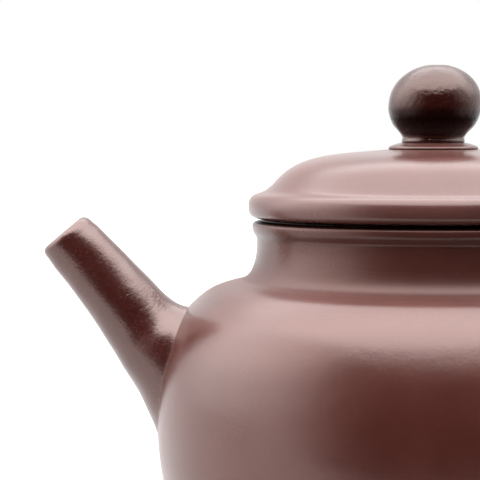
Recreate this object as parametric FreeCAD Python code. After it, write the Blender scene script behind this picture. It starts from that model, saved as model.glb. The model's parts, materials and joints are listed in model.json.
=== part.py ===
"""Small unglazed clay teapot: round-shouldered body on a low foot ring, short
neck with a rolled mouth bead, straight tapered spout, ear-shaped loop handle,
and a lift-off lid with an ogee dome, a locating flange and a ball knob.

Frame: millimetres, +Z up, origin at the centre of the foot ring's resting face.
The spout points towards -X and the handle towards +X.
Every clay piece that the potter lutes to the next is its own solid.
"""
import FreeCAD, Part
import math
import os

V = FreeCAD.Vector

# ---------------------------------------------------------------- dimensions
WALL = 2.8            # body wall thickness
FOOT_H = 3.0          # foot ring height
DISC_TOP = 5.8        # top face of the base disc
SHOULDER_Z = 54.8     # top edge of the beaten body wall
FOLD_Z = 57.3         # top face of the shoulder disc, foot of the neck
GROOVE_Z = 64.45      # groove between neck and mouth bead
MOUTH_Z = 67.35       # mouth plane
MOUTH_R = 26.9        # inner radius of the mouth
NECK_R = 29.65        # outer radius of the neck
LID_Z = 67.38         # underside of the lid's rim
LID_R = 31.13         # largest lid radius
RIM_Z = 71.0          # joint between the lid's rim ring and its dome
LID_TOP = 79.0        # flat at the crown of the dome, under the knob's base
FLANGE_R = 26.6       # outer radius of the locating flange
FLANGE_IN = 24.2      # inner radius of the flange and of the rim ring
FLANGE_Z = 59.0       # lower edge of the flange
RUN_GAP = 0.02        # clearance between flange and rim ring
KNOB_Z = 80.12        # joint between knob base and knob
VENT_R = 0.8          # vent hole radius
SPOUT_TIP = (-62.15, 65.09)   # centre of the spout's mouth (x, z)
SPOUT_DEG = 49.9      # slope of the spout below the horizontal, going inwards
BORE_R = 3.0          # cylindrical part of the spout's bore
BORE_L = 10.0         # its length
WALL_HOLE_R = 5.8     # opening in the body wall behind the strainer
WALL_HOLE_Z = 43.2
STRAINER_R = 8.2      # outer radius of the strainer's dome
STRAINER_T = 1.6
STRAINER_HOLE_R = 0.85

# outer profile of the body, (radius, height)
BODY = [(31.50, 3.0), (33.55, 4.4), (35.40, 5.8), (36.75, 7.0), (38.62, 9.0),
        (40.92, 12.0), (43.18, 16.0), (44.68, 20.0), (45.56, 23.8), (46.02, 27.0),
        (46.30, 30.5), (46.40, 33.5), (46.28, 37.5), (45.80, 41.5), (44.92, 45.2),
        (43.60, 48.6), (42.25, 51.1), (40.81, 52.9), (39.75, 53.88), (38.60, 54.8)]
SHOULDER = [(38.60, 54.8), (37.73, 55.38), (36.64, 55.93), (35.35, 56.40),
            (33.86, 56.82), (32.75, 57.06), (31.95, 57.30)]
NECK = [(31.95, 57.30), (31.15, 57.78), (30.55, 58.55), (30.10, 59.6),
        (29.82, 60.8), (29.68, 61.9), (29.65, 63.2), (29.65, 64.45)]
BEAD = [(29.65, 64.45), (29.95, 64.82), (30.26, 65.30), (30.43, 65.80),
        (30.47, 66.25), (30.36, 66.75), (30.08, 67.12), (29.70, 67.35)]
RIM = [(29.80, 67.38), (30.42, 67.66), (30.86, 68.10), (31.06, 68.60),
       (31.13, 69.20), (31.10, 69.90), (30.96, 70.50), (30.70, 71.0)]
DOME = [(30.70, 71.0), (30.24, 71.36), (29.39, 71.70), (28.49, 72.04),
        (27.75, 72.55), (26.88, 73.35), (25.88, 74.35), (24.66, 75.41),
        (22.98, 76.42), (20.90, 77.24), (18.00, 77.93), (13.90, 78.45),
        (10.50, 78.74), (7.75, 79.0)]
DOME_IN = [(25.60, 71.0), (24.90, 71.75), (24.00, 72.60), (22.60, 73.60),
           (20.40, 74.55), (17.50, 75.25), (13.50, 75.80), (9.00, 76.15), (4.50, 76.30)]
KNOB = [(5.25, 80.12), (5.29, 80.38), (5.18, 80.75), (5.26, 81.15), (5.54, 81.60),
        (6.03, 82.15), (6.65, 82.82), (7.18, 83.75), (7.54, 84.70), (7.76, 85.85),
        (7.75, 86.90), (7.60, 88.00), (7.22, 89.10), (6.60, 90.15), (5.68, 91.15),
        (4.48, 92.03), (3.13, 92.68), (1.88, 93.06), (1.15, 93.14)]
# spout: (distance from the mouth, half width above the axis, half width below)
SPOUT = [(1.8, 4.82, 4.84), (3.1, 5.02, 4.91), (5.5, 5.24, 4.97), (8.5, 5.47, 5.17),
         (11.5, 5.71, 5.42), (14.5, 5.98, 5.74), (17.5, 6.22, 6.08), (20.0, 6.52, 6.39),
         (21.9, 7.12, 6.68), (23.5, 8.06, 6.95), (26.0, 9.10, 7.26), (29.0, 9.90, 7.76),
         (31.5, 10.3, 8.40), (34.0, 10.6, 9.10), (37.0, 10.9, 10.20), (40.5, 11.1, 11.4)]
# handle centre line (x, z) with section radii (in the loop's plane, across it)
HANDLE = [(37.6, 45.6, 5.7, 5.5), (41.2, 49.0, 5.1, 5.0), (45.6, 53.0, 4.65, 4.7),
          (51.0, 56.7, 4.35, 4.55), (57.2, 58.6, 4.2, 4.5), (63.1, 57.4, 4.1, 4.4),
          (67.6, 53.3, 4.0, 4.3), (69.9, 47.6, 3.9, 4.15), (70.1, 41.0, 3.8, 4.0),
          (68.3, 34.6, 3.65, 3.85), (64.8, 28.6, 3.5, 3.7), (60.0, 23.4, 3.4, 3.6),
          (54.2, 19.4, 3.35, 3.5), (48.0, 16.9, 3.5, 3.6), (42.8, 15.7, 4.0, 4.1),
          (38.0, 15.0, 4.7, 4.8)]

os.makedirs("parts", exist_ok=True)


# ------------------------------------------------------------------- helpers
def p3(rz):
    return V(rz[0], 0, rz[1])


def spline(points, start=None, end=None):
    """Smooth curve through points in the XZ plane."""
    c = Part.BSplineCurve()
    pts = [p3(p) for p in points]
    if start is not None and end is not None:
        c.interpolate(Points=pts, InitialTangent=V(start[0], 0, start[1]),
                      FinalTangent=V(end[0], 0, end[1]))
    else:
        c.interpolate(Points=pts)
    return c


def line(a, b):
    return Part.LineSegment(p3(a), p3(b)).toShape()


def lathe(edges):
    """Solid of revolution about Z of a closed profile."""
    face = Part.Face(Part.Wire(Part.__sortEdges__(edges)))
    s = face.revolve(V(0, 0, 0), V(0, 0, 1), 360)
    if s.Volume < 0:
        s.reverse()
    return Part.Solid(s.Shells[0]) if s.ShapeType != "Solid" else s


def lathe_poly(points, curves=()):
    """Closed profile of straight edges; curves maps an edge index to a curve."""
    n = len(points)
    table = dict(curves)
    edges = []
    for i in range(n):
        if i in table:
            edges.append(table[i].toShape())
        else:
            edges.append(line(points[i], points[(i + 1) % n]))
    return lathe(edges)


def offset_points(points, distance, n=26):
    """Points of the smooth curve moved inwards by a distance."""
    c = spline(points)
    a, b = c.FirstParameter, c.LastParameter
    out = []
    for i in range(n + 1):
        u = a + (b - a) * i / n
        p = c.value(u)
        t = c.tangent(u)[0]
        # inward normal of an upward-running outer profile
        out.append((p.x - t.z * distance, p.z + t.x * distance))
    return out


def finish(name, shape):
    shape = shape.removeSplitter() if hasattr(shape, "removeSplitter") else shape
    solids = shape.Solids
    if not solids:
        raise ValueError("no solid in " + name)
    solids = sorted(solids, key=lambda s: -s.Volume)
    if len(solids) > 1 and solids[1].Volume > 0.5:
        raise ValueError("%s fell into %d solids" % (name, len(solids)))
    body = solids[0]
    if not body.isValid():
        body.fix(1e-4, 1e-4, 1e-4)
    if not body.isValid():
        raise ValueError("invalid solid: " + name)
    body.exportStep("parts/%s.step" % name)
    print("%-14s %9.1f mm3" % (name, body.Volume))
    return body


# --------------------------------------------------------------- pot, turned
foot_ring = lathe_poly(
    [(26.9, 0.0), (29.6, 0.0), (30.2, 0.45), (30.35, 1.3), (29.9, FOOT_H),
     (26.3, FOOT_H), (26.3, 0.6)])

base_curve = spline(BODY)
body_outer = lathe([base_curve.toShape(), line(BODY[-1], (0, SHOULDER_Z)),
                    line((0, SHOULDER_Z), (0, FOOT_H)), line((0, FOOT_H), BODY[0])])

inner = offset_points(BODY, WALL)
inner = [p for p in inner if DISC_TOP + 0.5 < p[1] < SHOULDER_Z - 0.35]
# run the inner surface out to the two joint planes
r_low = inner[0][0] - (inner[0][1] - DISC_TOP) * 1.15
r_top = inner[-1][0] - (SHOULDER_Z - inner[-1][1]) * 1.15
inner = [(r_low, DISC_TOP)] + inner + [(r_top, SHOULDER_Z)]
inner_curve = spline(inner)
cavity = lathe([inner_curve.toShape(), line(inner[-1], (0, SHOULDER_Z)),
                line((0, SHOULDER_Z), (0, DISC_TOP)), line((0, DISC_TOP), inner[0])])

low_slab = Part.makeCylinder(60, DISC_TOP - FOOT_H, V(0, 0, FOOT_H), V(0, 0, 1))
high_slab = Part.makeCylinder(60, SHOULDER_Z - DISC_TOP, V(0, 0, DISC_TOP), V(0, 0, 1))
base_disc = body_outer.common(low_slab)
body_wall = body_outer.common(high_slab).cut(cavity)

shoulder_disc = lathe_poly(
    [(MOUTH_R, SHOULDER_Z), SHOULDER[0], SHOULDER[-1], (MOUTH_R, FOLD_Z)],
    {1: spline(SHOULDER)})
neck_band = lathe_poly(
    [(MOUTH_R, FOLD_Z), NECK[0], NECK[-1], (MOUTH_R, GROOVE_Z)],
    {1: spline(NECK)})
mouth_bead = lathe_poly(
    [(MOUTH_R, GROOVE_Z), BEAD[0], BEAD[-1], (MOUTH_R + 0.5, MOUTH_Z),
     (MOUTH_R, MOUTH_Z - 0.5)], {1: spline(BEAD)})

# --------------------------------------------------------------- pot, spout
a = math.radians(SPOUT_DEG)
AX = V(math.cos(a), 0, -math.sin(a))          # inwards along the spout
UP = V(math.sin(a), 0, math.cos(a))           # towards the spout's upper side
TIP = V(SPOUT_TIP[0], 0, SPOUT_TIP[1])


def circle_at(s, hu, hl):
    r = 0.5 * (hu + hl)
    c = TIP + AX * s + UP * (0.5 * (hu - hl))
    return Part.Wire([Part.Circle(c, AX, r).toShape()])


stem = Part.makeLoft([circle_at(*row) for row in SPOUT], True, False)
lip = Part.makeLoft([circle_at(0.0, 3.60, 3.85), circle_at(0.14, 4.05, 4.32),
                     circle_at(0.42, 4.42, 4.62), circle_at(0.85, 4.64, 4.76),
                     circle_at(1.3, 4.75, 4.81), circle_at(1.8, 4.82, 4.84)], True, False)
bore = Part.makeCylinder(BORE_R, BORE_L + 1, TIP - AX, AX)
throat = Part.makeCone(BORE_R, 6.2, 28.0, TIP + AX * BORE_L, AX)
flare = Part.makeCone(3.45, BORE_R, 0.45, TIP, AX)
spout = stem.fuse(lip).cut(body_outer)
spout = Part.makeCompound([s for s in spout.Solids if s.BoundBox.XMin < -50])
spout = spout.cut(bore).cut(throat).cut(flare)
spout = Part.makeCompound([s for s in spout.Solids if s.BoundBox.XMin < -60])

wall_hole = Part.makeCylinder(WALL_HOLE_R, 20, V(-55, 0, WALL_HOLE_Z), V(1, 0, 0))
body_wall = body_wall.cut(wall_hole)

# radius of the inner wall at the strainer's height
r_in = min(inner, key=lambda p: abs(p[1] - WALL_HOLE_Z))[0]
sc = V(-r_in, 0, WALL_HOLE_Z)
# the dome is turned about the X axis, with its seam between the holes
seam = V(0, math.cos(math.radians(30)), math.sin(math.radians(30)))


def on_dome(r, deg):
    t = math.radians(deg)
    return sc + V(1, 0, 0) * (r * math.cos(t)) + seam * (r * math.sin(t))


ri = STRAINER_R - STRAINER_T
dome_face = Part.Face(Part.Wire(Part.__sortEdges__([
    Part.Arc(on_dome(STRAINER_R, 0), on_dome(STRAINER_R, 50), on_dome(STRAINER_R, 100)).toShape(),
    Part.LineSegment(on_dome(STRAINER_R, 100), on_dome(ri, 100)).toShape(),
    Part.Arc(on_dome(ri, 100), on_dome(ri, 50), on_dome(ri, 0)).toShape(),
    Part.LineSegment(on_dome(ri, 0), on_dome(STRAINER_R, 0)).toShape()])))
dome = dome_face.revolve(sc, V(1, 0, 0), 360)
if dome.Volume < 0:
    dome.reverse()
dome = dome.cut(Part.makeCylinder(STRAINER_HOLE_R, STRAINER_R + 3, sc, V(1, 0, 0)))
dome = dome.common(cavity)
for tilt, count in ((30, 6), (60, 12)):
    for i in range(count):
        t = math.radians(tilt)
        w = 2 * math.pi * (i + (0.5 if tilt == 60 else 0)) / max(count, 1)
        d = V(math.cos(t), math.sin(t) * math.cos(w), math.sin(t) * math.sin(w))
        dome = dome.cut(Part.makeCylinder(STRAINER_HOLE_R, STRAINER_R + 3, sc, d))
strainer = dome

# -------------------------------------------------------------- pot, handle
def handle_sections():
    wires = []
    n = len(HANDLE)
    for i, (x, z, ra, rb) in enumerate(HANDLE):
        lo = HANDLE[max(i - 1, 0)]
        hi = HANDLE[min(i + 1, n - 1)]
        t = V(hi[0] - lo[0], 0, hi[1] - lo[1])
        t.normalize()
        side = V(-t.z, 0, t.x)                # in the loop's plane
        pts = []
        for k in range(24):
            w = 2 * math.pi * k / 24
            pts.append(V(x, 0, z) + side * (ra * math.cos(w)) + V(0, rb * math.sin(w), 0))
        c = Part.BSplineCurve()
        c.interpolate(Points=pts, PeriodicFlag=True)
        wires.append(Part.Wire([c.toShape()]))
    return wires


handle = Part.makeLoft(handle_sections(), True, False)
handle = handle.cut(body_outer).cut(shoulder_disc)
handle = Part.makeCompound([s for s in handle.Solids if s.BoundBox.XMax > 60])

# ----------------------------------------------------------------------- lid
lid_rim = lathe_poly(
    [(FLANGE_IN, LID_Z), RIM[0], RIM[-1], (FLANGE_IN, RIM_Z)], {1: spline(RIM)})
vent = Part.makeCylinder(VENT_R, 60, V(0, 0, 60), V(0, 0, 1))
lid_dome = lathe([spline(DOME).toShape(), line(DOME[-1], (0, LID_TOP)),
                  line((0, LID_TOP), (0, 76.3)), line((0, 76.3), DOME_IN[-1]),
                  spline(DOME_IN).toShape(), line(DOME_IN[0], DOME[0])]).cut(vent)
lid_flange = lathe_poly(
    [(FLANGE_IN + 0.5, FLANGE_Z), (FLANGE_R - 0.7, FLANGE_Z), (FLANGE_R, FLANGE_Z + 0.8),
     (FLANGE_R, LID_Z - RUN_GAP), (FLANGE_IN, LID_Z - RUN_GAP), (FLANGE_IN, FLANGE_Z + 0.5)])
knob_base = lathe([line((0, LID_TOP), (7.40, LID_TOP)),
                   spline([(7.40, LID_TOP), (7.53, 79.19), (7.36, 79.45), (6.98, 79.65),
                           (6.43, 79.84), (5.86, 79.99), (5.40, KNOB_Z)]).toShape(),
                   line((5.40, KNOB_Z), (0, KNOB_Z)), line((0, KNOB_Z), (0, LID_TOP))]).cut(vent)
knob = lathe([line((0, KNOB_Z), KNOB[0]), spline(KNOB).toShape(),
              line(KNOB[-1], (VENT_R, 92.95)), line((VENT_R, 92.95), (0, 92.95)),
              line((0, 92.95), (0, KNOB_Z))]).cut(vent)

# -------------------------------------------------------------------- export
pieces = {}
for name, shape in (("foot_ring", foot_ring), ("base_disc", base_disc),
                    ("body_wall", body_wall), ("shoulder_disc", shoulder_disc),
                    ("neck_band", neck_band), ("mouth_bead", mouth_bead),
                    ("spout", spout), ("strainer", strainer), ("handle", handle),
                    ("lid_rim", lid_rim), ("lid_dome", lid_dome),
                    ("lid_flange", lid_flange), ("knob_base", knob_base),
                    ("knob", knob)):
    pieces[name] = finish(name, shape)

brim = cavity.Volume + math.pi * MOUTH_R ** 2 * (FLANGE_Z - SHOULDER_Z)
print("capacity to the lid flange %.0f ml" % (brim / 1000.0))
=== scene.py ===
"""Visual model of a small unglazed clay teapot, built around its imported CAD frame."""
import bpy
import bmesh
import json
import math
import numpy as np
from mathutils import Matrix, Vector, noise


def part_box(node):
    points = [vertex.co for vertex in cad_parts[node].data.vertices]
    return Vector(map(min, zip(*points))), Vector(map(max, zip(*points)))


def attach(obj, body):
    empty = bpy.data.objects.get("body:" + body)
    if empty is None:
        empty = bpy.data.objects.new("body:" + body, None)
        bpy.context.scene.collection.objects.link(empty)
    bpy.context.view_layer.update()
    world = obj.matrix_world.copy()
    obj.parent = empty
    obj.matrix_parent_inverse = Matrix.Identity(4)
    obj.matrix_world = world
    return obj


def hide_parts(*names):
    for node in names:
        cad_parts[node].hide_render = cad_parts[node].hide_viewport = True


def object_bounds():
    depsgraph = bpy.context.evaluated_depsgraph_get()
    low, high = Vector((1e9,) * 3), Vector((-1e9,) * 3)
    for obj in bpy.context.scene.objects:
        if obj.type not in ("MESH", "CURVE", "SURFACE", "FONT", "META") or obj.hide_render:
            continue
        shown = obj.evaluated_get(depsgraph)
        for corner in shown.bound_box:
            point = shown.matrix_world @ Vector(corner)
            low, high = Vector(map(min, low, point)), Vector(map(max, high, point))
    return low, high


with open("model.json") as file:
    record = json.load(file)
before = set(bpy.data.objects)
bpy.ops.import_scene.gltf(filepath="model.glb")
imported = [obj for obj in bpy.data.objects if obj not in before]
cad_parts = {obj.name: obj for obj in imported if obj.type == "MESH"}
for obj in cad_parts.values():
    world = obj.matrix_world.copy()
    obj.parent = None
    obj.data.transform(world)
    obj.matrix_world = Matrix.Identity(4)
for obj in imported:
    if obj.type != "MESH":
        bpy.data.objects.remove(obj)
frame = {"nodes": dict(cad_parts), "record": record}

cad_box = [list(c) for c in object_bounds()]
MM = 0.001
rng = np.random.default_rng(7)

# --------------------------------------------------------------------------
# Outlines in millimetres. Below, the lathed ones are cut at heights read from their CAD nodes' boxes.
# --------------------------------------------------------------------------
BODY = [(31.50, 3.0), (33.55, 4.4), (35.40, 5.8), (36.75, 7.0), (38.62, 9.0),
        (40.92, 12.0), (43.18, 16.0), (44.68, 20.0), (45.56, 23.8), (46.02, 27.0),
        (46.30, 30.5), (46.40, 33.5), (46.28, 37.5), (45.80, 41.5), (44.92, 45.2),
        (43.60, 48.6), (42.25, 51.1), (40.81, 52.9), (39.75, 53.88), (38.60, 54.8),
        (37.73, 55.38), (36.64, 55.94), (35.35, 56.42), (34.00, 56.80), (32.90, 57.08),
        (32.05, 57.36), (31.32, 57.80), (30.72, 58.50), (30.26, 59.5), (29.95, 60.6),
        (29.76, 61.7), (29.67, 62.8), (29.66, 63.6), (29.72, 64.2), (29.82, 64.45)]
BEAD = [(29.82, 64.45), (30.00, 64.76), (30.22, 65.15), (30.40, 65.62), (30.47, 66.10),
        (30.42, 66.50), (30.18, 66.78), (29.70, 66.95), (29.00, 67.05)]
RIM = [(29.00, 67.40), (29.85, 67.53), (30.46, 67.76), (30.88, 68.15), (31.06, 68.60), (31.13, 69.20),
       (31.10, 69.90), (30.96, 70.50), (30.70, 71.0), (30.24, 71.36), (29.39, 71.70),
       (28.49, 72.04), (27.75, 72.55), (26.88, 73.35), (25.88, 74.35), (24.66, 75.41),
       (22.98, 76.42), (20.90, 77.24), (18.00, 77.93), (13.90, 78.45), (10.50, 78.74),
       (7.75, 78.98)]
DOME_IN = [(25.60, 71.0), (24.90, 71.75), (24.00, 72.60), (22.60, 73.60), (20.40, 74.55),
           (17.50, 75.25), (13.50, 75.80), (9.00, 76.15), (4.50, 76.30)]
COLLAR = [(7.38, 79.0), (7.52, 79.17), (7.40, 79.42), (6.99, 79.65), (6.43, 79.84),
          (5.86, 79.99), (5.36, 80.11)]
KNOB = [(5.12, 80.13), (5.27, 80.28), (5.29, 80.45), (5.19, 80.75), (5.26, 81.15),
        (5.54, 81.60), (6.03, 82.15), (6.65, 82.82), (7.18, 83.75), (7.54, 84.70),
        (7.76, 85.85), (7.75, 86.90), (7.60, 88.00), (7.22, 89.10), (6.60, 90.15),
        (5.68, 91.15), (4.48, 92.03), (3.13, 92.68), (1.90, 93.04)]
SPOUT = [(1.8, 4.82, 4.84), (3.1, 5.02, 4.91), (5.5, 5.24, 4.97), (8.5, 5.47, 5.17),
         (11.5, 5.71, 5.42), (14.5, 5.98, 5.74), (17.5, 6.22, 6.08), (20.0, 6.52, 6.39),
         (21.9, 7.12, 6.68), (23.5, 8.06, 6.95), (26.0, 9.10, 7.26), (29.0, 9.90, 7.76),
         (31.5, 10.3, 8.40), (34.0, 10.6, 9.10), (37.0, 10.9, 10.20), (40.5, 11.1, 11.4)]
HANDLE = [(37.6, 45.6, 5.7, 5.5), (41.2, 49.0, 5.1, 5.0), (45.6, 53.0, 4.65, 4.7),
          (51.0, 56.7, 4.35, 4.55), (57.2, 58.6, 4.2, 4.5), (63.1, 57.4, 4.1, 4.4),
          (67.6, 53.3, 4.0, 4.3), (69.9, 47.6, 3.9, 4.15), (70.1, 41.0, 3.8, 4.0),
          (68.3, 34.6, 3.65, 3.85), (64.8, 28.6, 3.5, 3.7), (60.0, 23.4, 3.4, 3.6),
          (54.2, 19.4, 3.35, 3.5), (48.0, 16.9, 3.5, 3.6), (42.8, 15.7, 4.0, 4.1),
          (38.0, 15.0, 4.7, 4.8)]
WALL = 2.8
VENT = 0.8
STRAINER_HOLE = (5.8, 43.2)
FRONT_DROP = 0.85

# light: floor shade, then brightness against the white backdrop;
# boxes: middle and half width round the pot, foot and full height above the floor (degrees), brightness
FLOOR = 0.42
OVERHEAD = 5.9
WALL_LEVEL = 1.25
LEFT_BOX = (172, 36, -42, 44, 4.75)
RIGHT_BOX = (8, 28, -12, 45, 4.5)


# --------------------------------------------------------------------------
# curve helpers
# --------------------------------------------------------------------------
def cubic(xs, ys, q):
    """Natural cubic spline through (xs, ys), read at q."""
    xs, ys, q = (np.asarray(v, float) for v in (xs, ys, q))
    n = len(xs)
    h = np.diff(xs)
    a = np.zeros((n, n))
    b = np.zeros(n)
    a[0, 0] = a[-1, -1] = 1
    for i in range(1, n - 1):
        a[i, i - 1], a[i, i], a[i, i + 1] = h[i - 1], 2 * (h[i - 1] + h[i]), h[i]
        b[i] = 6 * ((ys[i + 1] - ys[i]) / h[i] - (ys[i] - ys[i - 1]) / h[i - 1])
    m = np.linalg.solve(a, b)
    k = np.clip(np.searchsorted(xs, q) - 1, 0, n - 2)
    d = q - xs[k]
    return (ys[k] + d * ((ys[k + 1] - ys[k]) / h[k] - h[k] * (2 * m[k] + m[k + 1]) / 6)
            + d ** 2 * m[k] / 2 + d ** 3 * (m[k + 1] - m[k]) / (6 * h[k]))


def smooth(points, step):
    """Evenly spaced points along the smooth curve through points."""
    p = np.array(points, float)
    s = np.concatenate([[0], np.cumsum(np.hypot(*np.diff(p, axis=0).T[:2]))])
    fine = np.linspace(0, s[-1], 1600)
    c = np.stack([cubic(s, p[:, k], fine) for k in range(p.shape[1])], 1)
    t = np.concatenate([[0], np.cumsum(np.hypot(*np.diff(c, axis=0).T[:2]))])
    n = max(2, int(round(t[-1] / step)))
    q = np.linspace(0, t[-1], n + 1)
    return np.stack([np.interp(q, t, c[:, k]) for k in range(p.shape[1])], 1)


def straight(a, b, step):
    n = max(1, int(round(math.dist(a, b) / step)))
    t = np.linspace(0, 1, n + 1)[:, None]
    return np.array(a) * (1 - t) + np.array(b) * t


def corner(a, p, b, r, n=5):
    """A rounded corner at p between the directions to a and b."""
    a, p, b = (np.array(v, float) for v in (a, p, b))
    u, v = (a - p) / np.linalg.norm(a - p), (b - p) / np.linalg.norm(b - p)
    t = np.linspace(0, 1, n)[:, None]
    p0, p1 = p + u * r, p + v * r
    return (1 - t) ** 2 * p0 + 2 * t * (1 - t) * p + t ** 2 * p1


def inset(points, distance):
    """Points moved inwards by a distance, across the curve."""
    d = np.gradient(points, axis=0)
    d /= np.linalg.norm(d, axis=1)[:, None]
    return points + np.stack([-d[:, 1], d[:, 0]], 1) * distance


def cut_z(points, z0, z1):
    """The stretch of an upward-running outline between two heights."""
    p = np.asarray(points)
    keep = p[(p[:, 1] > z0 + 0.05) & (p[:, 1] < z1 - 0.05)]
    r = lambda z: np.interp(z, p[:, 1], p[:, 0])
    return np.vstack([[r(z0), z0], keep, [r(z1), z1]])


# --------------------------------------------------------------------------
# sizes from the frame: how far the CAD nodes are from the outlines' numbers
# --------------------------------------------------------------------------
def top(node):
    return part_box(node)[1].z / MM


def base(node):
    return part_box(node)[0].z / MM


def radius(node):
    lo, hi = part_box(node)
    return (hi.y - lo.y) / 2 / MM


K = radius("body_wall") / 46.40
FOOT_TOP, DISC_TOP, WALL_TOP = top("foot_ring"), top("base_disc"), top("body_wall")
FOLD, GROOVE, MOUTH = top("shoulder_disc"), top("neck_band"), top("mouth_bead")
LID_LOW, RIM_TOP, LID_TOP = base("lid_rim"), top("lid_rim"), top("lid_dome")
FLANGE_LOW, FLANGE_TOP, FLANGE_R = base("lid_flange"), top("lid_flange"), radius("lid_flange")
BASE_TOP, KNOB_TOP = top("knob_base"), top("knob")
print("scale", round(K, 5), "planes", [round(v, 3) for v in (
    FOOT_TOP, DISC_TOP, WALL_TOP, FOLD, GROOVE, MOUTH, LID_LOW, RIM_TOP, LID_TOP, BASE_TOP, KNOB_TOP)])

outer = smooth(BODY, 0.24)
body_r = lambda z: np.interp(z, outer[:, 1], outer[:, 0])


def handmade(x, y, z, amount=1.0):
    """Slight unevenness of a hand-beaten surface, in mm along the radius."""
    th = np.arctan2(y, x)
    d = 0.050 * np.sin(2 * th + 0.6) + 0.032 * np.sin(3 * th - 0.07 * z + 2.1)
    d += 0.020 * np.sin(5 * th + 0.11 * z + 0.4) + 0.012 * np.sin(9 * th - 0.23 * z)
    d += 0.012 * np.sin(0.9 * z + 1.7 * np.sin(2 * th + 0.4)) * np.sin(4 * th + 1.0)
    return d * amount


# --------------------------------------------------------------------------
# mesh builders
# --------------------------------------------------------------------------
def make(name, verts, faces, sharp=32.0):
    me = bpy.data.meshes.new(name)
    me.from_pydata([tuple(v) for v in (np.asarray(verts) * MM).tolist()], [], faces)
    me.validate()
    bm = bmesh.new()
    bm.from_mesh(me)
    bmesh.ops.remove_doubles(bm, verts=bm.verts, dist=1e-7)
    bmesh.ops.recalc_face_normals(bm, faces=bm.faces)
    if bm.calc_volume(signed=True) < 0:
        bmesh.ops.reverse_faces(bm, faces=bm.faces)
    lim = math.radians(sharp)
    flat = [abs(f.normal.z) > 0.99999 for f in bm.faces]
    bm.faces.index_update()
    for e in bm.edges:
        e.smooth = len(e.link_faces) == 2 and e.calc_face_angle(0) < lim
        # the flat faces where two pieces are joined keep a crisp rim
        if e.smooth and flat[e.link_faces[0].index] != flat[e.link_faces[1].index]:
            e.smooth = e.calc_face_angle(0) < math.radians(4)
    for f in bm.faces:
        f.smooth = True
    bm.to_mesh(me)
    bm.free()
    ob = bpy.data.objects.new(name, me)
    bpy.context.scene.collection.objects.link(ob)
    return ob


def lathe(name, loops, seg=256, uneven=0.0, sharp=32.0):
    """A ring-shaped solid: loops is a list of outline stretches (r, z) that close on themselves.
    Each stretch is (points, uneven share)."""
    pts, amt = [], []
    for part in loops:
        p, share = part if isinstance(part, tuple) else (part, 0.0)
        p = np.asarray(p, float)
        for q in p:
            if pts and math.dist(pts[-1], q) < 1e-4:
                amt[-1] = max(amt[-1], share) if share == 0 else min(amt[-1], share)
                continue
            pts.append(tuple(q))
            amt.append(share)
    if math.dist(pts[0], pts[-1]) < 1e-4:
        pts.pop()
        amt.pop()
    pts, amt = np.array(pts), np.array(amt)
    n = len(pts)
    th = np.linspace(0, 2 * math.pi, seg, endpoint=False)
    on_axis = pts[:, 0] < 1e-6
    verts = np.zeros((n, seg, 3))
    x, y = np.cos(th)[None, :], np.sin(th)[None, :]
    r, z = pts[:, :1], pts[:, 1:]
    rr = r + np.where(on_axis[:, None], 0, handmade(r * x, r * y, z + 0 * x) * amt[:, None] * uneven)
    verts[..., 0], verts[..., 1], verts[..., 2] = rr * x, rr * y, z + 0 * x
    faces = []
    for i in range(n):
        j = (i + 1) % n
        if on_axis[i] and on_axis[j]:
            continue
        for k in range(seg):
            m = (k + 1) % seg
            a, b, c, d = i * seg + k, i * seg + m, j * seg + m, j * seg + k
            if on_axis[i]:
                faces.append((i * seg, c, d))
            elif on_axis[j]:
                faces.append((a, b, j * seg))
            else:
                faces.append((a, b, c, d))
    ob = make(name, verts.reshape(-1, 3), faces, sharp)
    return ob


# ------------------------------------------------------------- pot, lathed
foot_in = 26.3
foot = [
    (straight((foot_in, FOOT_TOP), (foot_in, 1.05), 0.6), 0.0),
    (corner((foot_in, 1.6), (foot_in, 0.0), (27.6, 0.0), 0.75, 6), 0.0),
    (straight((27.25, 0.0), (29.45, 0.0), 0.5), 0.0),
    (smooth([(29.45, 0.0), (29.90, 0.12), (30.20, 0.45), (30.34, 1.10), (30.30, 1.90), (30.05, 2.60), (29.75, FOOT_TOP)], 0.22), 1.0),
    (straight((29.75, FOOT_TOP), (foot_in, FOOT_TOP), 0.8), 0.0)]
foot_ring = lathe("foot_ring_piece", foot, 256, 0.8)

disc = [
    (straight((0.0, FOOT_TOP), (31.25, FOOT_TOP), 1.2), 0.0),
    (np.vstack([[31.25, FOOT_TOP], cut_z(outer, FOOT_TOP + 0.12, DISC_TOP)]), 1.0),
    (straight((body_r(DISC_TOP), DISC_TOP), (0.0, DISC_TOP), 1.2), 0.0)]
base_disc = lathe("base_disc_piece", disc, 288, 1.0)

inner = inset(cut_z(outer, DISC_TOP, WALL_TOP), WALL)
inner = inner[(inner[:, 1] > DISC_TOP + 0.4) & (inner[:, 1] < WALL_TOP - 0.3)][::3]
in_low = (inner[0, 0] - (inner[0, 1] - DISC_TOP) * 1.15, DISC_TOP)
in_top = (inner[-1, 0] - (WALL_TOP - inner[-1, 1]) * 1.15, WALL_TOP)
wall_out = cut_z(outer, DISC_TOP, WALL_TOP)
wall = [
    (wall_out, 1.0),
    (straight(wall_out[-1], in_top, 0.9), 0.0),
    (np.vstack([[in_top], inner[::-1], [in_low]]), 0.6),
    (straight(in_low, wall_out[0], 0.9), 0.0)]
body_wall = lathe("body_wall_piece", wall, 272, 1.0)

mouth_r = 26.9
sh_out = cut_z(outer, WALL_TOP, FOLD)
shoulder = [
    (sh_out, 1.0),
    (straight(sh_out[-1], (mouth_r, FOLD), 0.9), 0.0),
    (straight((mouth_r, FOLD), (mouth_r, WALL_TOP), 0.8), 0.0),
    (straight((mouth_r, WALL_TOP), sh_out[0], 1.0), 0.0)]
shoulder_disc = lathe("shoulder_disc_piece", shoulder, 320, 1.0)

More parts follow.
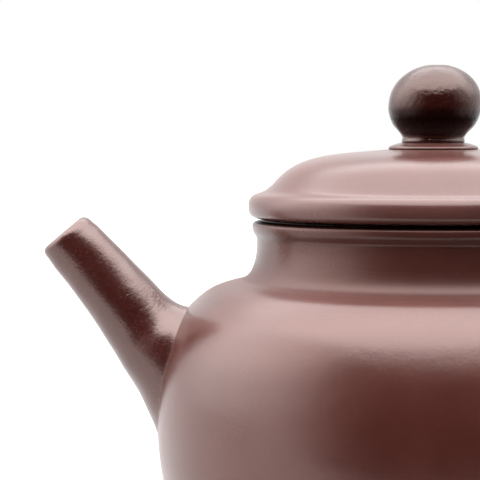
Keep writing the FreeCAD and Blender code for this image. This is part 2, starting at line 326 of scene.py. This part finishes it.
nk_out = cut_z(outer, FOLD, GROOVE)
neck = [
    (nk_out, 1.0),
    (straight(nk_out[-1], (mouth_r, GROOVE), 0.9), 0.0),
    (straight((mouth_r, GROOVE), (mouth_r, FOLD), 0.8), 0.0),
    (straight((mouth_r, FOLD), nk_out[0], 1.0), 0.0)]
neck_band = lathe("neck_band_piece", neck, 320, 1.0)

bead_out = smooth([(nk_out[-1, 0], GROOVE)] + BEAD[1:], 0.14)
bead = [
    (bead_out, 1.0),
    (corner((29.0, 67.05), (29.0, MOUTH), (27.5, MOUTH), 0.25, 4), 0.0),
    (straight((28.75, MOUTH), (27.45, MOUTH), 0.7), 0.0),
    (corner((27.9, MOUTH), (mouth_r, MOUTH), (mouth_r, 66.0), 0.55, 6), 0.0),
    (straight((mouth_r, MOUTH - 0.55), (mouth_r, GROOVE), 0.7), 0.0),
    (straight((mouth_r, GROOVE), bead_out[0], 0.8), 0.0)]
mouth_bead = lathe("mouth_bead_piece", bead, 320, 1.0)

# the neck was luted on by hand: on the front its foot sits lower and runs out softer
for ob in (shoulder_disc, neck_band):
    co = np.empty(len(ob.data.vertices) * 3)
    ob.data.vertices.foreach_get("co", co)
    co = co.reshape(-1, 3)
    rr, zz = np.hypot(co[:, 0], co[:, 1]) / MM, co[:, 2] / MM
    side = -co[:, 1] / MM / rr
    side = 0.5 * (side + np.sqrt(side ** 2 + 0.02))
    t = np.clip((38.0 - rr) / 5.0, 0, 1)
    u = np.clip((62.0 - zz) / 4.4, 0, 1)
    q = np.clip((rr - mouth_r) / 2.6, 0, 1)
    co[:, 2] -= FRONT_DROP * MM * side * (t * t * (3 - 2 * t)) * (u * u * (3 - 2 * u)) * (q * q * (3 - 2 * q))
    ob.data.vertices.foreach_set("co", co.ravel())
    ob.data.update()

# ------------------------------------------------------------- lid, lathed
lid_out = smooth([(29.00, LID_LOW)] + RIM[1:], 0.22)
rim_out = cut_z(lid_out[:np.searchsorted(lid_out[:, 1], RIM_TOP + 0.6)], LID_LOW, RIM_TOP)
ring_in = 24.2
rim = [
    (rim_out, 1.0),
    (straight(rim_out[-1], (ring_in, RIM_TOP), 0.9), 0.0),
    (straight((ring_in, RIM_TOP), (ring_in, LID_LOW), 0.8), 0.0),
    (straight((ring_in, LID_LOW), (29.00, LID_LOW), 0.9), 0.0)]
lid_rim = lathe("lid_rim_piece", rim, 320, 1.0)

dome_out = np.vstack([[np.interp(RIM_TOP, lid_out[:, 1], lid_out[:, 0]), RIM_TOP],
                      lid_out[lid_out[:, 1] > RIM_TOP + 0.04]])
dome_in = smooth(DOME_IN, 0.8)
dome = [
    (dome_out, 1.0),
    (straight(dome_out[-1], (VENT, LID_TOP), 0.7), 0.0),
    (straight((VENT, LID_TOP), (VENT, 76.3), 0.6), 0.0),
    (np.vstack([[VENT, 76.3], dome_in[::-1]]), 0.5),
    (straight(dome_in[0], dome_out[0], 0.9), 0.0)]
lid_dome = lathe("lid_dome_piece", dome, 320, 1.0)

flange = [
    (straight((ring_in, FLANGE_TOP), (ring_in, FLANGE_LOW + 0.5), 0.8), 0.0),
    (corner((ring_in, 61), (ring_in, FLANGE_LOW), (26, FLANGE_LOW), 0.5, 5), 0.0),
    (straight((ring_in + 0.5, FLANGE_LOW), (FLANGE_R - 0.8, FLANGE_LOW), 0.5), 0.0),
    (corner((25, FLANGE_LOW), (FLANGE_R, FLANGE_LOW), (FLANGE_R, 61), 0.8, 6), 0.0),
    (straight((FLANGE_R, FLANGE_LOW + 0.8), (FLANGE_R, FLANGE_TOP), 0.8), 0.0),
    (straight((FLANGE_R, FLANGE_TOP), (ring_in, FLANGE_TOP), 0.8), 0.0)]
lid_flange = lathe("lid_flange_piece", flange, 256, 0.0)

collar_out = smooth([(7.38, LID_TOP)] + COLLAR[1:-1] + [(5.36, BASE_TOP)], 0.12)
collar = [
    (collar_out, 0.6),
    (straight(collar_out[-1], (VENT, BASE_TOP), 0.6), 0.0),
    (straight((VENT, BASE_TOP), (VENT, LID_TOP), 0.5), 0.0),
    (straight((VENT, LID_TOP), (7.38, LID_TOP), 0.8), 0.0)]
knob_base = lathe("knob_base_piece", collar, 160, 0.6)

knob_pts = smooth([(5.12, BASE_TOP)] + KNOB[1:], 0.18)
knob_pts = np.vstack([knob_pts, [[1.45, 93.10], [1.10, 93.06], [0.88, 92.90], [VENT, 92.65]]])
knob_loops = [
    (knob_pts, 1.0),
    (straight((VENT, 92.65), (VENT, BASE_TOP), 0.8), 0.0),
    (straight((VENT, BASE_TOP), (5.12, BASE_TOP), 0.7), 0.0)]
knob = lathe("knob_piece", knob_loops, 192, 0.9)

# the knob was set by hand: a hair off the axis, and leaning towards the handle
for v in knob_base.data.vertices:
    v.co.x -= 0.14 * MM
for v in knob.data.vertices:
    v.co.x += ((v.co.z / MM) - 84.2) * 0.050 * MM


# ------------------------------------------------------------------- spout
mount = next(m for m in frame["record"]["mounts"] if m["name"] == "spout_mouth")
AX = -np.array(mount["axis"], float)
AX /= np.linalg.norm(AX)
UP = np.array([-AX[2], 0, AX[0]])
bore_r, bore_len = mount["dims"]["r_mm"], mount["dims"]["length_mm"]
TIP = np.array(mount["pos_m"], float) / MM - AX * (0.45 + bore_len / 2)
SIDE = np.array([0, 1.0, 0])
sp = np.array(SPOUT)


def spout_point(s, phi, inner_wall=False):
    """A point of the spout's outer (or bore) surface, s mm from the mouth."""
    s = np.asarray(s, float)
    if inner_wall:
        r = np.where(s < 0.45, bore_r + 0.45 - np.clip(s, 0, 0.45), np.where(
            s < 10, bore_r, bore_r + (s - 10) * (6.2 - bore_r) / 28.0))
        off = 0 * r
    else:
        hu, hl = cubic(sp[:, 0], sp[:, 1], s), cubic(sp[:, 0], sp[:, 2], s)
        r, off = (hu + hl) / 2, (hu - hl) / 2
    c = TIP + s[..., None] * AX + off[..., None] * UP
    return c + (r * np.cos(phi))[..., None] * UP + (r * np.sin(phi))[..., None] * SIDE


def wall_gap(p):
    """Distance outside the body's wall, in mm."""
    return np.hypot(p[..., 0], p[..., 1]) - (body_r(p[..., 2]) + handmade(p[..., 0], p[..., 1], p[..., 2]))


def reach(point_at, s0, s1, sink):
    """For each column, where point_at(s) goes sink mm into the body."""
    lo, hi = np.array(s0, float), np.array(s1, float)
    for _ in range(40):
        mid = (lo + hi) / 2
        out = wall_gap(point_at(mid)) > -sink
        lo, hi = np.where(out, mid, lo), np.where(out, hi, mid)
    return (lo + hi) / 2


NPHI = 160
phi = np.linspace(0, 2 * math.pi, NPHI, endpoint=False)
sink = 0.30
s_out = reach(lambda s: spout_point(s, phi), 15 + 0 * phi, 39.5 + 0 * phi, sink)
s_in = reach(lambda s: spout_point(s, phi, True), 12 + 0 * phi, 39.5 + 0 * phi, sink)
rows = []
# rounded lip, from the bore's edge over the rim to the outside: s, upper and lower half width
LIP = [(0.60, 3.0, 3.0), (0.30, 3.05, 3.05), (0.12, 3.20, 3.20), (0.03, 3.42, 3.45),
       (0.0, 3.66, 3.88), (0.06, 3.90, 4.16), (0.18, 4.12, 4.38), (0.38, 4.36, 4.58),
       (0.66, 4.56, 4.72), (1.0, 4.69, 4.79), (1.4, 4.77, 4.82)]
for s, up, dn in LIP:
    r, off = (up + dn) / 2, (up - dn) / 2
    rows.append(TIP + s * AX + off * UP + (r * np.cos(phi))[:, None] * UP + (r * np.sin(phi))[:, None] * SIDE)
for t in np.linspace(0, 1, 118):
    s = 1.8 + (s_out - 1.8) * t
    p = spout_point(s, phi)
    # a thin bead of slip where the spout meets the wall
    d = (s_out - s)
    grow = 0.10 * np.exp(-(d / 0.5) ** 2)
    c = TIP + s[:, None] * AX
    dirn = p - c
    dirn /= np.linalg.norm(dirn, axis=1)[:, None]
    p = p + dirn * grow[:, None]
    # hand-drawn unevenness, faded at both ends
    u = 0.045 * np.sin(2 * phi + 0.25 * s + 0.5) + 0.03 * np.sin(3 * phi - 0.4 * s) + 0.015 * np.sin(5 * phi + 0.9 * s)
    u *= np.clip(t / 0.05, 0, 1) * np.clip((1 - t) / 0.08, 0, 1)
    rows.append(p + dirn * u[:, None])
for t in np.linspace(1, 0, 26):
    s = 0.9 + (s_in - 0.9) * t
    rows.append(spout_point(s, phi, True))
grid = np.array(rows)
nr = len(grid)
faces = []
for i in range(nr):
    j = (i + 1) % nr
    for k in range(NPHI):
        m = (k + 1) % NPHI
        faces.append((i * NPHI + k, i * NPHI + m, j * NPHI + m, j * NPHI + k))
spout = make("spout_piece", grid.reshape(-1, 3), faces, 38)

# ------------------------------------------------------------------ handle
h = np.array(HANDLE)
arc = np.concatenate([[0], np.cumsum(np.hypot(np.diff(h[:, 0]), np.diff(h[:, 1])))])


def handle_point(t, phi):
    cx, cz, ra, rb = (cubic(arc, h[:, k], t) for k in range(4))
    e = 0.05
    tx = cubic(arc, h[:, 0], t + e) - cubic(arc, h[:, 0], t - e)
    tz = cubic(arc, h[:, 1], t + e) - cubic(arc, h[:, 1], t - e)
    ln = np.hypot(tx, tz)
    nx, nz = -tz / ln, tx / ln
    u = 1 + 0.010 * np.sin(2 * phi + 0.08 * t) + 0.008 * np.sin(3 * phi - 0.11 * t + 1.0) + 0.006 * np.sin(0.35 * t + phi)
    a, b = ra * np.cos(phi) * u, rb * np.sin(phi) * u
    return np.stack([cx + nx * a, b, cz + nz * a], -1)


NH = 96
ph = np.linspace(0, 2 * math.pi, NH, endpoint=False)
mid_t = arc[8] + 0 * ph
t_a = reach(lambda t: handle_point(t, ph), mid_t, 0 * ph + 0.1, 0.30)
t_b = reach(lambda t: handle_point(t, ph), mid_t, 0 * ph + arc[-1] - 0.1, 0.30)
rows = []
nt = 300
for t in np.linspace(0, 1, nt):
    e = 0.5 - 0.5 * np.cos(math.pi * t)
    e = 0.75 * t + 0.25 * e
    tt = t_a + (t_b - t_a) * e
    p = handle_point(tt, ph)
    cx, cz = cubic(arc, h[:, 0], tt), cubic(arc, h[:, 1], tt)
    c = np.stack([cx, 0 * cx, cz], -1)
    d = p - c
    d /= np.linalg.norm(d, axis=1)[:, None]
    grow = 0.35 * np.exp(-((tt - t_a) / 0.8) ** 2) + 0.35 * np.exp(-((t_b - tt) / 0.8) ** 2)
    rows.append(p + d * grow[:, None])
grid = np.array(rows)
faces = []
for i in range(nt - 1):
    for k in range(NH):
        m = (k + 1) % NH
        faces.append((i * NH + k, i * NH + m, (i + 1) * NH + m, (i + 1) * NH + k))
ends = [grid[0].mean(0), grid[-1].mean(0)]
verts = np.vstack([grid.reshape(-1, 3), ends])
for k in range(NH):
    m = (k + 1) % NH
    faces.append((nt * NH, m, k))
    faces.append((nt * NH + 1, (nt - 1) * NH + k, (nt - 1) * NH + m))
handle = make("handle_piece", verts, faces, 45)

# the opening through the wall, behind the strainer
hole_r, hole_z = STRAINER_HOLE
nc = 72
circ = [(math.cos(2 * math.pi * k / nc) * hole_r, math.sin(2 * math.pi * k / nc) * hole_r + hole_z) for k in range(nc)]
cv = [(-52.0, a, b) for a, b in circ] + [(-36.0, a, b) for a, b in circ]
cf = [(k, (k + 1) % nc, nc + (k + 1) % nc, nc + k) for k in range(nc)]
cf += [tuple(range(nc)), tuple(range(2 * nc - 1, nc - 1, -1))]
cutter = make("wall_cutter", cv, cf)
cut = body_wall.modifiers.new("opening", "BOOLEAN")
cut.operation, cut.object, cut.solver = "DIFFERENCE", cutter, "EXACT"
deps = bpy.context.evaluated_depsgraph_get()
new = bpy.data.meshes.new_from_object(body_wall.evaluated_get(deps))
body_wall.modifiers.clear()
body_wall.data = new
new.name = "body_wall_piece"
bpy.data.objects.remove(cutter)


# --------------------------------------------------------------------------
# clay materials
# --------------------------------------------------------------------------
class Graph:
    def __init__(self, name):
        self.mat = bpy.data.materials.new(name)
        self.mat.use_nodes = True
        self.nt = self.mat.node_tree
        self.nt.nodes.clear()

    def node(self, kind, **props):
        n = self.nt.nodes.new(kind)
        for k, v in props.items():
            setattr(n, k, v)
        return n

    def link(self, a, b):
        self.nt.links.new(a, b)

    def set(self, n, **values):
        for k, v in values.items():
            n.inputs[k].default_value = v

    def scaled(self, coord, scale):
        m = self.node("ShaderNodeMapping")
        m.inputs["Scale"].default_value = scale
        self.link(coord, m.inputs["Vector"])
        return m.outputs["Vector"]

    def noise(self, vec, scale, detail=2.0, rough=0.5, distortion=0.0):
        n = self.node("ShaderNodeTexNoise")
        self.set(n, Scale=scale, Detail=detail, Roughness=rough, Distortion=distortion)
        self.link(vec, n.inputs["Vector"])
        return n.outputs["Fac"]

    def ramp(self, fac, stops):
        n = self.node("ShaderNodeValToRGB")
        r = n.color_ramp
        while len(r.elements) < len(stops):
            r.elements.new(0.5)
        for e, (pos, col) in zip(r.elements, stops):
            e.position = pos
            e.color = (col, col, col, 1) if isinstance(col, (int, float)) else (*col, 1)
        self.link(fac, n.inputs["Fac"])
        return n.outputs["Color"]

    def math(self, op, a, b=None, clamp=False):
        n = self.node("ShaderNodeMath", operation=op, use_clamp=clamp)
        for i, v in enumerate((a, b)):
            if v is None:
                continue
            if isinstance(v, (int, float)):
                n.inputs[i].default_value = v
            else:
                self.link(v, n.inputs[i])
        return n.outputs[0]

    def mix(self, fac, a, b, blend="MIX"):
        n = self.node("ShaderNodeMix", data_type="RGBA", blend_type=blend)
        for s, v in ((0, fac), (6, a), (7, b)):
            if isinstance(v, (int, float)):
                n.inputs[s].default_value = v
            elif isinstance(v, tuple):
                n.inputs[s].default_value = (*v, 1)
            else:
                self.link(v, n.inputs[s])
        return n.outputs[2]


def clay(name, base, grain=1.0, burnish=1.0, speck=1.0, rough=0.27, gloss=0.5, tint=(1, 1, 1), shine_and_painted_shade=None, coarse=None, lumps=1.0):
    """Unglazed fine clay: sandy grain, pale and dark specks, pits, and rubbed streaks.
    shine_and_painted_shade: heights in mm and the share of shine left there, duller where hands never rub; where the
    share is low the base colour is also darkened towards black, a painted shade (under the lid's rim, on the knob's
    lower half).
    coarse: heights in mm and the roughness added there, in the folds.
    lumps: how strongly finger marks dent the surface."""

    def by_height(stops):
        sep = g.node("ShaderNodeSeparateXYZ")
        g.link(mm, sep.inputs[0])
        z0, z1 = stops[0][0], stops[-1][0]
        at = g.math("DIVIDE", g.math("SUBTRACT", sep.outputs[2], z0), z1 - z0, clamp=True)
        return g.ramp(at, [((z - z0) / (z1 - z0), v) for z, v in stops])

    g = Graph(name)
    out = g.node("ShaderNodeOutputMaterial")
    bs = g.node("ShaderNodeBsdfPrincipled")
    g.link(bs.outputs[0], out.inputs[0])
    co = g.node("ShaderNodeTexCoord").outputs["Object"]
    mm = g.scaled(co, (1000, 1000, 1000))
    # colour: broad mottling, sandy salt and pepper, streaks from rubbing
    # (the noise grid is turned, so that it never lines up with the turned shape)
    turned = g.node("ShaderNodeMapping")
    turned.inputs["Scale"].default_value = (1000, 1000, 1000)
    turned.inputs["Rotation"].default_value = (0.61, 0.37, 0.93)
    g.link(co, turned.inputs["Vector"])
    sand = turned.outputs[0]
    broad = g.noise(sand, 0.045, 3, 0.55)
    sandy = g.noise(sand, 1.9, 3, 0.65, 0.3)
    streak = g.noise(g.scaled(co, (90, 90, 1500)), 1.0, 1, 0.5)
    dark = tuple(c * 0.80 for c in base)
    light = tuple(min(1, c * 1.16 + 0.004) for c in base)
    col = g.mix(g.ramp(broad, [(0.3, 0.0), (0.7, 1.0)]), dark, light)
    col = g.mix(g.math("MULTIPLY", g.ramp(sandy, [(0.52, 0.0), (0.74, 1.0)]), 0.30 * grain), col,
                tuple(min(1, c * 1.75 + 0.01) for c in base))
    col = g.mix(g.math("MULTIPLY", g.ramp(sandy, [(0.26, 1.0), (0.46, 0.0)]), 0.34 * grain), col,
                tuple(c * 0.55 for c in base))
    col = g.mix(g.math("MULTIPLY", g.ramp(streak, [(0.45, 0.0), (0.75, 1.0)]), 0.16 * burnish), col,
                tuple(c * 1.30 for c in base))

    def specks(scale, size, share, seed):
        v = g.node("ShaderNodeTexVoronoi", feature="F1")
        g.set(v, Scale=scale, Randomness=1.0)
        m = g.node("ShaderNodeMapping")
        m.inputs["Scale"].default_value = (1000, 1000, 1000)
        m.inputs["Location"].default_value = (seed, seed * 1.7, seed * 0.6)
        g.link(co, m.inputs["Vector"])
        g.link(m.outputs[0], v.inputs["Vector"])
        near = g.ramp(v.outputs["Distance"], [(size * 0.55, 1.0), (size, 0.0)])
        sep = g.node("ShaderNodeSeparateColor")
        g.link(v.outputs["Color"], sep.inputs[0])
        pick = g.math("GREATER_THAN", sep.outputs[0], 1 - share)
        return g.math("MULTIPLY", near, pick)

    pale = specks(1.6, 0.16, 0.28 * speck, 3.1)
    iron = specks(1.4, 0.20, 0.35 * speck, 11.7)
    pits = specks(0.9, 0.20, 0.25 * speck, 23.3)
    col = g.mix(g.math("MULTIPLY", pale, 0.15 + 0.25 * speck), col, tuple(min(1, c * 3.2 + 0.03) for c in base))
    col = g.mix(g.math("MULTIPLY", iron, 0.70), col, tuple(c * 0.30 for c in base))
    # painted shade: where the shine share by height is low, the base colour is darkened towards black (the seam under
    # the lid's rim, the knob's lower half)
    if shine_and_painted_shade:
        shade = g.math("ADD", g.math("MULTIPLY", by_height(shine_and_painted_shade), 1.5), 0.05, clamp=True)
        col = g.mix(shade, (0.0, 0.0, 0.0), col)
    g.link(col, bs.inputs["Base Color"])
    # roughness: polished on the high spots, duller in the grain
    r1 = g.math("MULTIPLY", g.math("SUBTRACT", sandy, 0.5), 0.10 * grain + 0.22 * grain * speck)
    r2 = g.math("MULTIPLY", g.math("SUBTRACT", streak, 0.5), 0.16 * burnish)
    r3 = g.math("MULTIPLY", g.math("SUBTRACT", broad, 0.5), 0.10)
    rr = g.math("ADD", g.math("ADD", r1, r2), g.math("ADD", r3, rough))
    rr = g.math("ADD", rr, g.math("MULTIPLY", iron, 0.02 + 0.10 * speck))
    if coarse:
        rr = g.math("ADD", rr, by_height(coarse))
    g.link(g.math("MINIMUM", g.math("MAXIMUM", rr, 0.14), 0.9), bs.inputs["Roughness"])
    bs.inputs["IOR"].default_value = 1.50
    if shine_and_painted_shade:
        g.link(g.math("MULTIPLY", by_height(shine_and_painted_shade), gloss), bs.inputs["Specular IOR Level"])
    else:
        bs.inputs["Specular IOR Level"].default_value = gloss
    bs.inputs["Specular Tint"].default_value = (*tint, 1)
    # surface: grain, pits and raised grains, shallow rubbing marks
    fine = g.noise(sand, 3.2, 3, 0.6, 0.3)
    dents = g.noise(sand, 0.55, 2, 0.5)
    height = g.math("MULTIPLY", fine, 0.026 * grain)
    height = g.math("ADD", height, g.math("MULTIPLY", sandy, 0.026 * grain))
    height = g.math("ADD", height, g.math("MULTIPLY", dents, 0.050 * grain * lumps))
    height = g.math("ADD", height, g.math("MULTIPLY", streak, 0.006 * burnish))
    height = g.math("ADD", height, g.math("MULTIPLY", pale, 0.001 + 0.011 * speck))
    height = g.math("SUBTRACT", height, g.math("MULTIPLY", pits, 0.004 + 0.036 * speck))
    bump = g.node("ShaderNodeBump")
    bump.inputs["Strength"].default_value = 1.0
    bump.inputs["Distance"].default_value = 0.001
    g.link(height, bump.inputs["Height"])
    g.link(bump.outputs[0], bs.inputs["Normal"])
    return g.mat


mats = {
    "body": clay("clay_body", (0.062, 0.014, 0.010), 0.35, 0.0, 0.0, 0.25, 0.97, (1, 0.785, 0.745), None,
                 [(53.6, 0.0), (55.0, 0.07), (56.0, 0.17), (57.5, 0.20)]),
    # neck: the low shine shares from 66.55 mm up darken the top of the bead under the lid's rim, a painted shade
    "neck": clay("clay_neck", (0.058, 0.016, 0.012), 0.35, 0.0, 0.0, 0.26, 0.50, (1, 0.77, 0.72),
                 [(55.8, 1.5), (57.4, 1.2), (59.2, 1.0), (65.0, 1.05), (66.3, 1.05), (66.55, 0.6), (66.8, 0.1), (67.5, 0.1)],
                 [(56.0, 0.22), (57.5, 0.18), (58.8, 0.10), (60.5, 0.0)]),
    "lid": clay("clay_lid", (0.090, 0.032, 0.027), 0.38, 0.0, 0.0, 0.26, 0.66, (1, 0.86, 0.83)),
    "spout": clay("clay_spout", (0.046, 0.008, 0.006), 1.1, 0.3, 0.5, 0.23, 1.12, (1, 0.80, 0.75)),
    # knob: the low shine shares from 81.5 to 86.6 mm darken the knob's lower half towards black, a painted shade
    "knob": clay("clay_knob", (0.026, 0.004, 0.003), 1.35, 0.3, 0.4, 0.18, 0.74, (1, 0.77, 0.71),
                 [(80.0, 1.4), (80.9, 1.4), (81.5, 0.30), (84.0, 0.08), (85.4, 0.30), (86.6, 0.8), (88.5, 0.95), (93.5, 1.0)],
                 None, 1.9),
    "inside": clay("clay_inside", (0.085, 0.028, 0.021), 1.2, 0.6, 0.5, 0.50, 0.50, (1, 0.82, 0.78)),
}

pieces = [
    (foot_ring, "pot", "foot_ring", "body_clay", "body"),
    (base_disc, "pot", "base_disc", "body_clay", "body"),
    (body_wall, "pot", "body_wall", "body_clay", "body"),
    (shoulder_disc, "pot", "shoulder_disc", "body_clay", "body"),
    (neck_band, "pot", "neck_band", "body_clay", "neck"),
    (mouth_bead, "pot", "mouth_bead", "body_clay", "neck"),
    (spout, "pot", "spout", "spout_clay", "spout"),
    (handle, "pot", "handle", "spout_clay", "spout"),
    (lid_flange, "lid_ring", "lid_flange", "lid_clay", "inside"),
    (lid_rim, "lid", "lid_rim", "lid_clay", "lid"),
    (lid_dome, "lid", "lid_dome", "lid_clay", "lid"),
    (knob_base, "lid", "knob_base", "lid_clay", "lid"),
    (knob, "lid", "knob", "knob_clay", "knob"),
]
for ob, body, node, slot, mat in pieces:
    ob.data.materials.clear()
    ob.data.materials.append(mats[mat])
    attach(ob, body)
    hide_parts(node)
st = frame["nodes"]["strainer"]
st.data.materials.clear()
st.data.materials.append(mats["inside"])

# --------------------------------------------------------------------------
# floor, light, camera
# --------------------------------------------------------------------------
# A plain pale shooting table: it ends a little in front of the pot, where the room is dark.
floor_me = bpy.data.meshes.new("floor")
floor_me.from_pydata([(-3, -0.115, 0), (3, -0.115, 0), (3, 3, 0), (-3, 3, 0)], [], [(0, 1, 2, 3)])
floor = bpy.data.objects.new("floor", floor_me)
bpy.context.scene.collection.objects.link(floor)
floor.location.z = cad_box[0][2]
g = Graph("pale_floor")
out = g.node("ShaderNodeOutputMaterial")
pale = g.node("ShaderNodeBsdfDiffuse")
g.set(pale, Color=(FLOOR, FLOOR, FLOOR, 1))
g.link(pale.outputs[0], out.inputs[0])
floor.data.materials.append(g.mat)


def ease(x, a, b):
    t = min(1.0, max(0.0, (x - a) / (b - a)))
    return t * t * (3 - 2 * t)


def softbox(az, el, centre, half, low, high, level):
    """A tall soft box standing at one side: bright up high, fading towards the floor."""
    off = abs((az - centre + 180) % 360 - 180)
    return level * (1 - ease(off, half - 24, half + 24)) * ease(el, low, high)


def studio(az, el):
    """Soft studio light against the white backdrop's 1.0: a broad box overhead, a soft box
    on either side, the pale wall behind, and a dark room on the camera's side.
    az is anticlockwise from +X, el is above the horizon, in degrees."""
    back = math.sin(math.radians(az))
    edge = 36 - 3.5 * back
    behind = ease(back * math.cos(math.radians(el)), -0.1, 0.4)
    overhead = OVERHEAD * (1 - 0.3 * behind) * ease(el, edge, edge + 9)
    wall = WALL_LEVEL * ease(back, -0.25, 0.25)
    return max(overhead, wall, softbox(az, el, *LEFT_BOX), softbox(az, el, *RIGHT_BOX))


world = bpy.data.worlds.new("studio")
bpy.context.scene.world = world
world.use_nodes = True
wg = Graph.__new__(Graph)
wg.nt = world.node_tree
wg.nt.nodes.clear()
sep = wg.node("ShaderNodeSeparateXYZ")
wg.link(wg.node("ShaderNodeTexCoord").outputs["Generated"], sep.inputs[0])
turn = wg.math("FRACT", wg.math("DIVIDE", wg.math("ARCTAN2", sep.outputs[1], sep.outputs[0]), 2 * math.pi))
height = wg.math("MULTIPLY", wg.math("ARCSINE", sep.outputs[2]), 180 / math.pi)
PEAK = 10.0
level, last = None, None
for el in (0, 8, 16, 24, 32, 36, 40, 43, 46, 49, 53, 60, 75, 88):
    band = wg.ramp(turn, [(k / 16, studio(k * 22.5, el) / PEAK) for k in range(17)])
    if level is None:
        level = band
    else:
        t = wg.math("DIVIDE", wg.math("SUBTRACT", height, last), el - last, clamp=True)
        level = wg.mix(t, level, band)
    last = el
light = wg.node("ShaderNodeBackground")
wg.link(level, light.inputs["Color"])
wg.set(light, Strength=PEAK)
white = wg.node("ShaderNodeBackground")
wg.set(white, Color=(1, 1, 1, 1), Strength=1.0)
seen = wg.node("ShaderNodeLightPath")
mixer = wg.node("ShaderNodeMixShader")
wg.link(seen.outputs["Is Camera Ray"], mixer.inputs[0])
wg.link(light.outputs[0], mixer.inputs[1])
wg.link(white.outputs[0], mixer.inputs[2])
out = wg.node("ShaderNodeOutputWorld")
wg.link(mixer.outputs[0], out.inputs[0])

F_PX = 2350.0
cam_data = bpy.data.cameras.new("camera")
cam_data.sensor_width = 36.0
cam_data.lens = F_PX / 480 * 36.0
cam_data.clip_start, cam_data.clip_end = 0.01, 20
cam = bpy.data.objects.new("camera", cam_data)
bpy.context.scene.collection.objects.link(cam)
cam.location = (-0.03255, -0.3943, 0.08329)
cam.rotation_euler = (math.radians(90 - 2.835), 0, 0)
bpy.context.scene.camera = cam

bpy.context.scene.view_settings.view_transform = "Standard"
bpy.context.scene.view_settings.look = "None"
